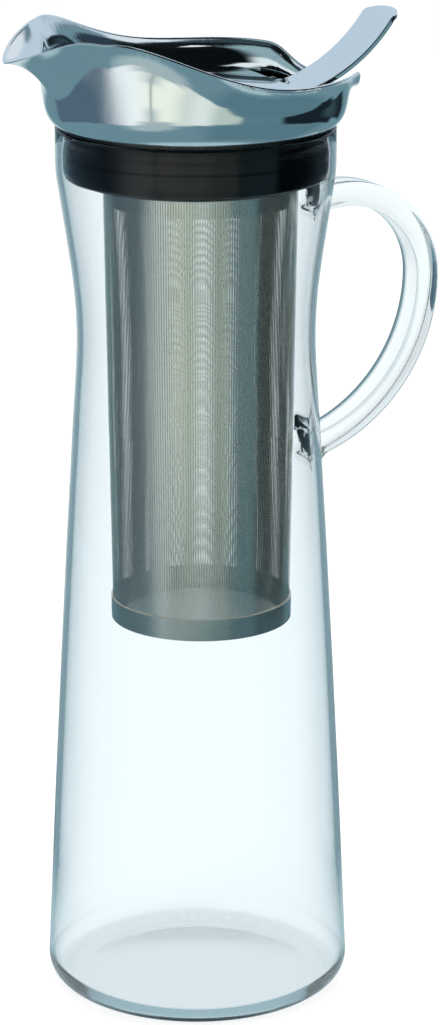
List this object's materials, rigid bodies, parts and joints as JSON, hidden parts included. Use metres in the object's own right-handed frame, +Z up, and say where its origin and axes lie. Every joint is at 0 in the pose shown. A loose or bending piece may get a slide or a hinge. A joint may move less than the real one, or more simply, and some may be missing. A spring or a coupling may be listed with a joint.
{
  "type": "cold brew coffee pitcher",
  "caption": "Tall waisted glass pitcher with a glass loop handle, a chrome spouted lid with a thumb-lever flap and a hanging steel mesh strainer.",
  "frame": {"origin": "centre of the foot ring, on the plane the pitcher stands on", "axes": "+Z up along the jug's axis; +X towards the handle and thumb lever, -X towards the spout"},
  "size_m": [0.1381, 0.0998, 0.2988],
  "materials": {
    "borosilicate_glass": "clear, fire-polished",
    "chrome_plate": "mirror-bright plating",
    "black_polypropylene": "moulded, glossy",
    "silicone_rubber": "moulded, smooth",
    "stainless_steel": "pressed, bright",
    "steel_mesh": "fine woven mesh"
  },
  "bodies": {
    "jug": {"glass_body": "borosilicate_glass", "glass_handle": "borosilicate_glass"},
    "lid": {"stopper_plug": "black_polypropylene", "neck_gasket": "silicone_rubber", "pouring_collar": "chrome_plate", "lid_deck": "black_polypropylene", "hinge_pin": "stainless_steel"},
    "flap": {"lid_flap": "chrome_plate", "thumb_lever": "chrome_plate"},
    "strainer": {"strainer_top_ring": "stainless_steel", "strainer_mesh": "steel_mesh", "strainer_seam": "stainless_steel", "strainer_bottom_band": "stainless_steel", "strainer_base_mesh": "steel_mesh"}
  },
  "joints": [
    {"name": "lid_lift", "type": "slide", "parent": "jug", "child": "lid", "axis": [0, 0, 1], "range_m": [0, 0.17]},
    {"name": "flap_hinge", "type": "hinge", "parent": "lid", "child": "flap", "pos_m": [0.03, 0, 0.2756], "axis": [0, 1, 0], "range_deg": [0, 28]},
    {"name": "strainer_twist", "type": "hinge", "parent": "lid", "child": "strainer", "pos_m": [0.0015, 0, 0.252], "axis": [0, 0, 1], "range_deg": [0, 40]}
  ]
}
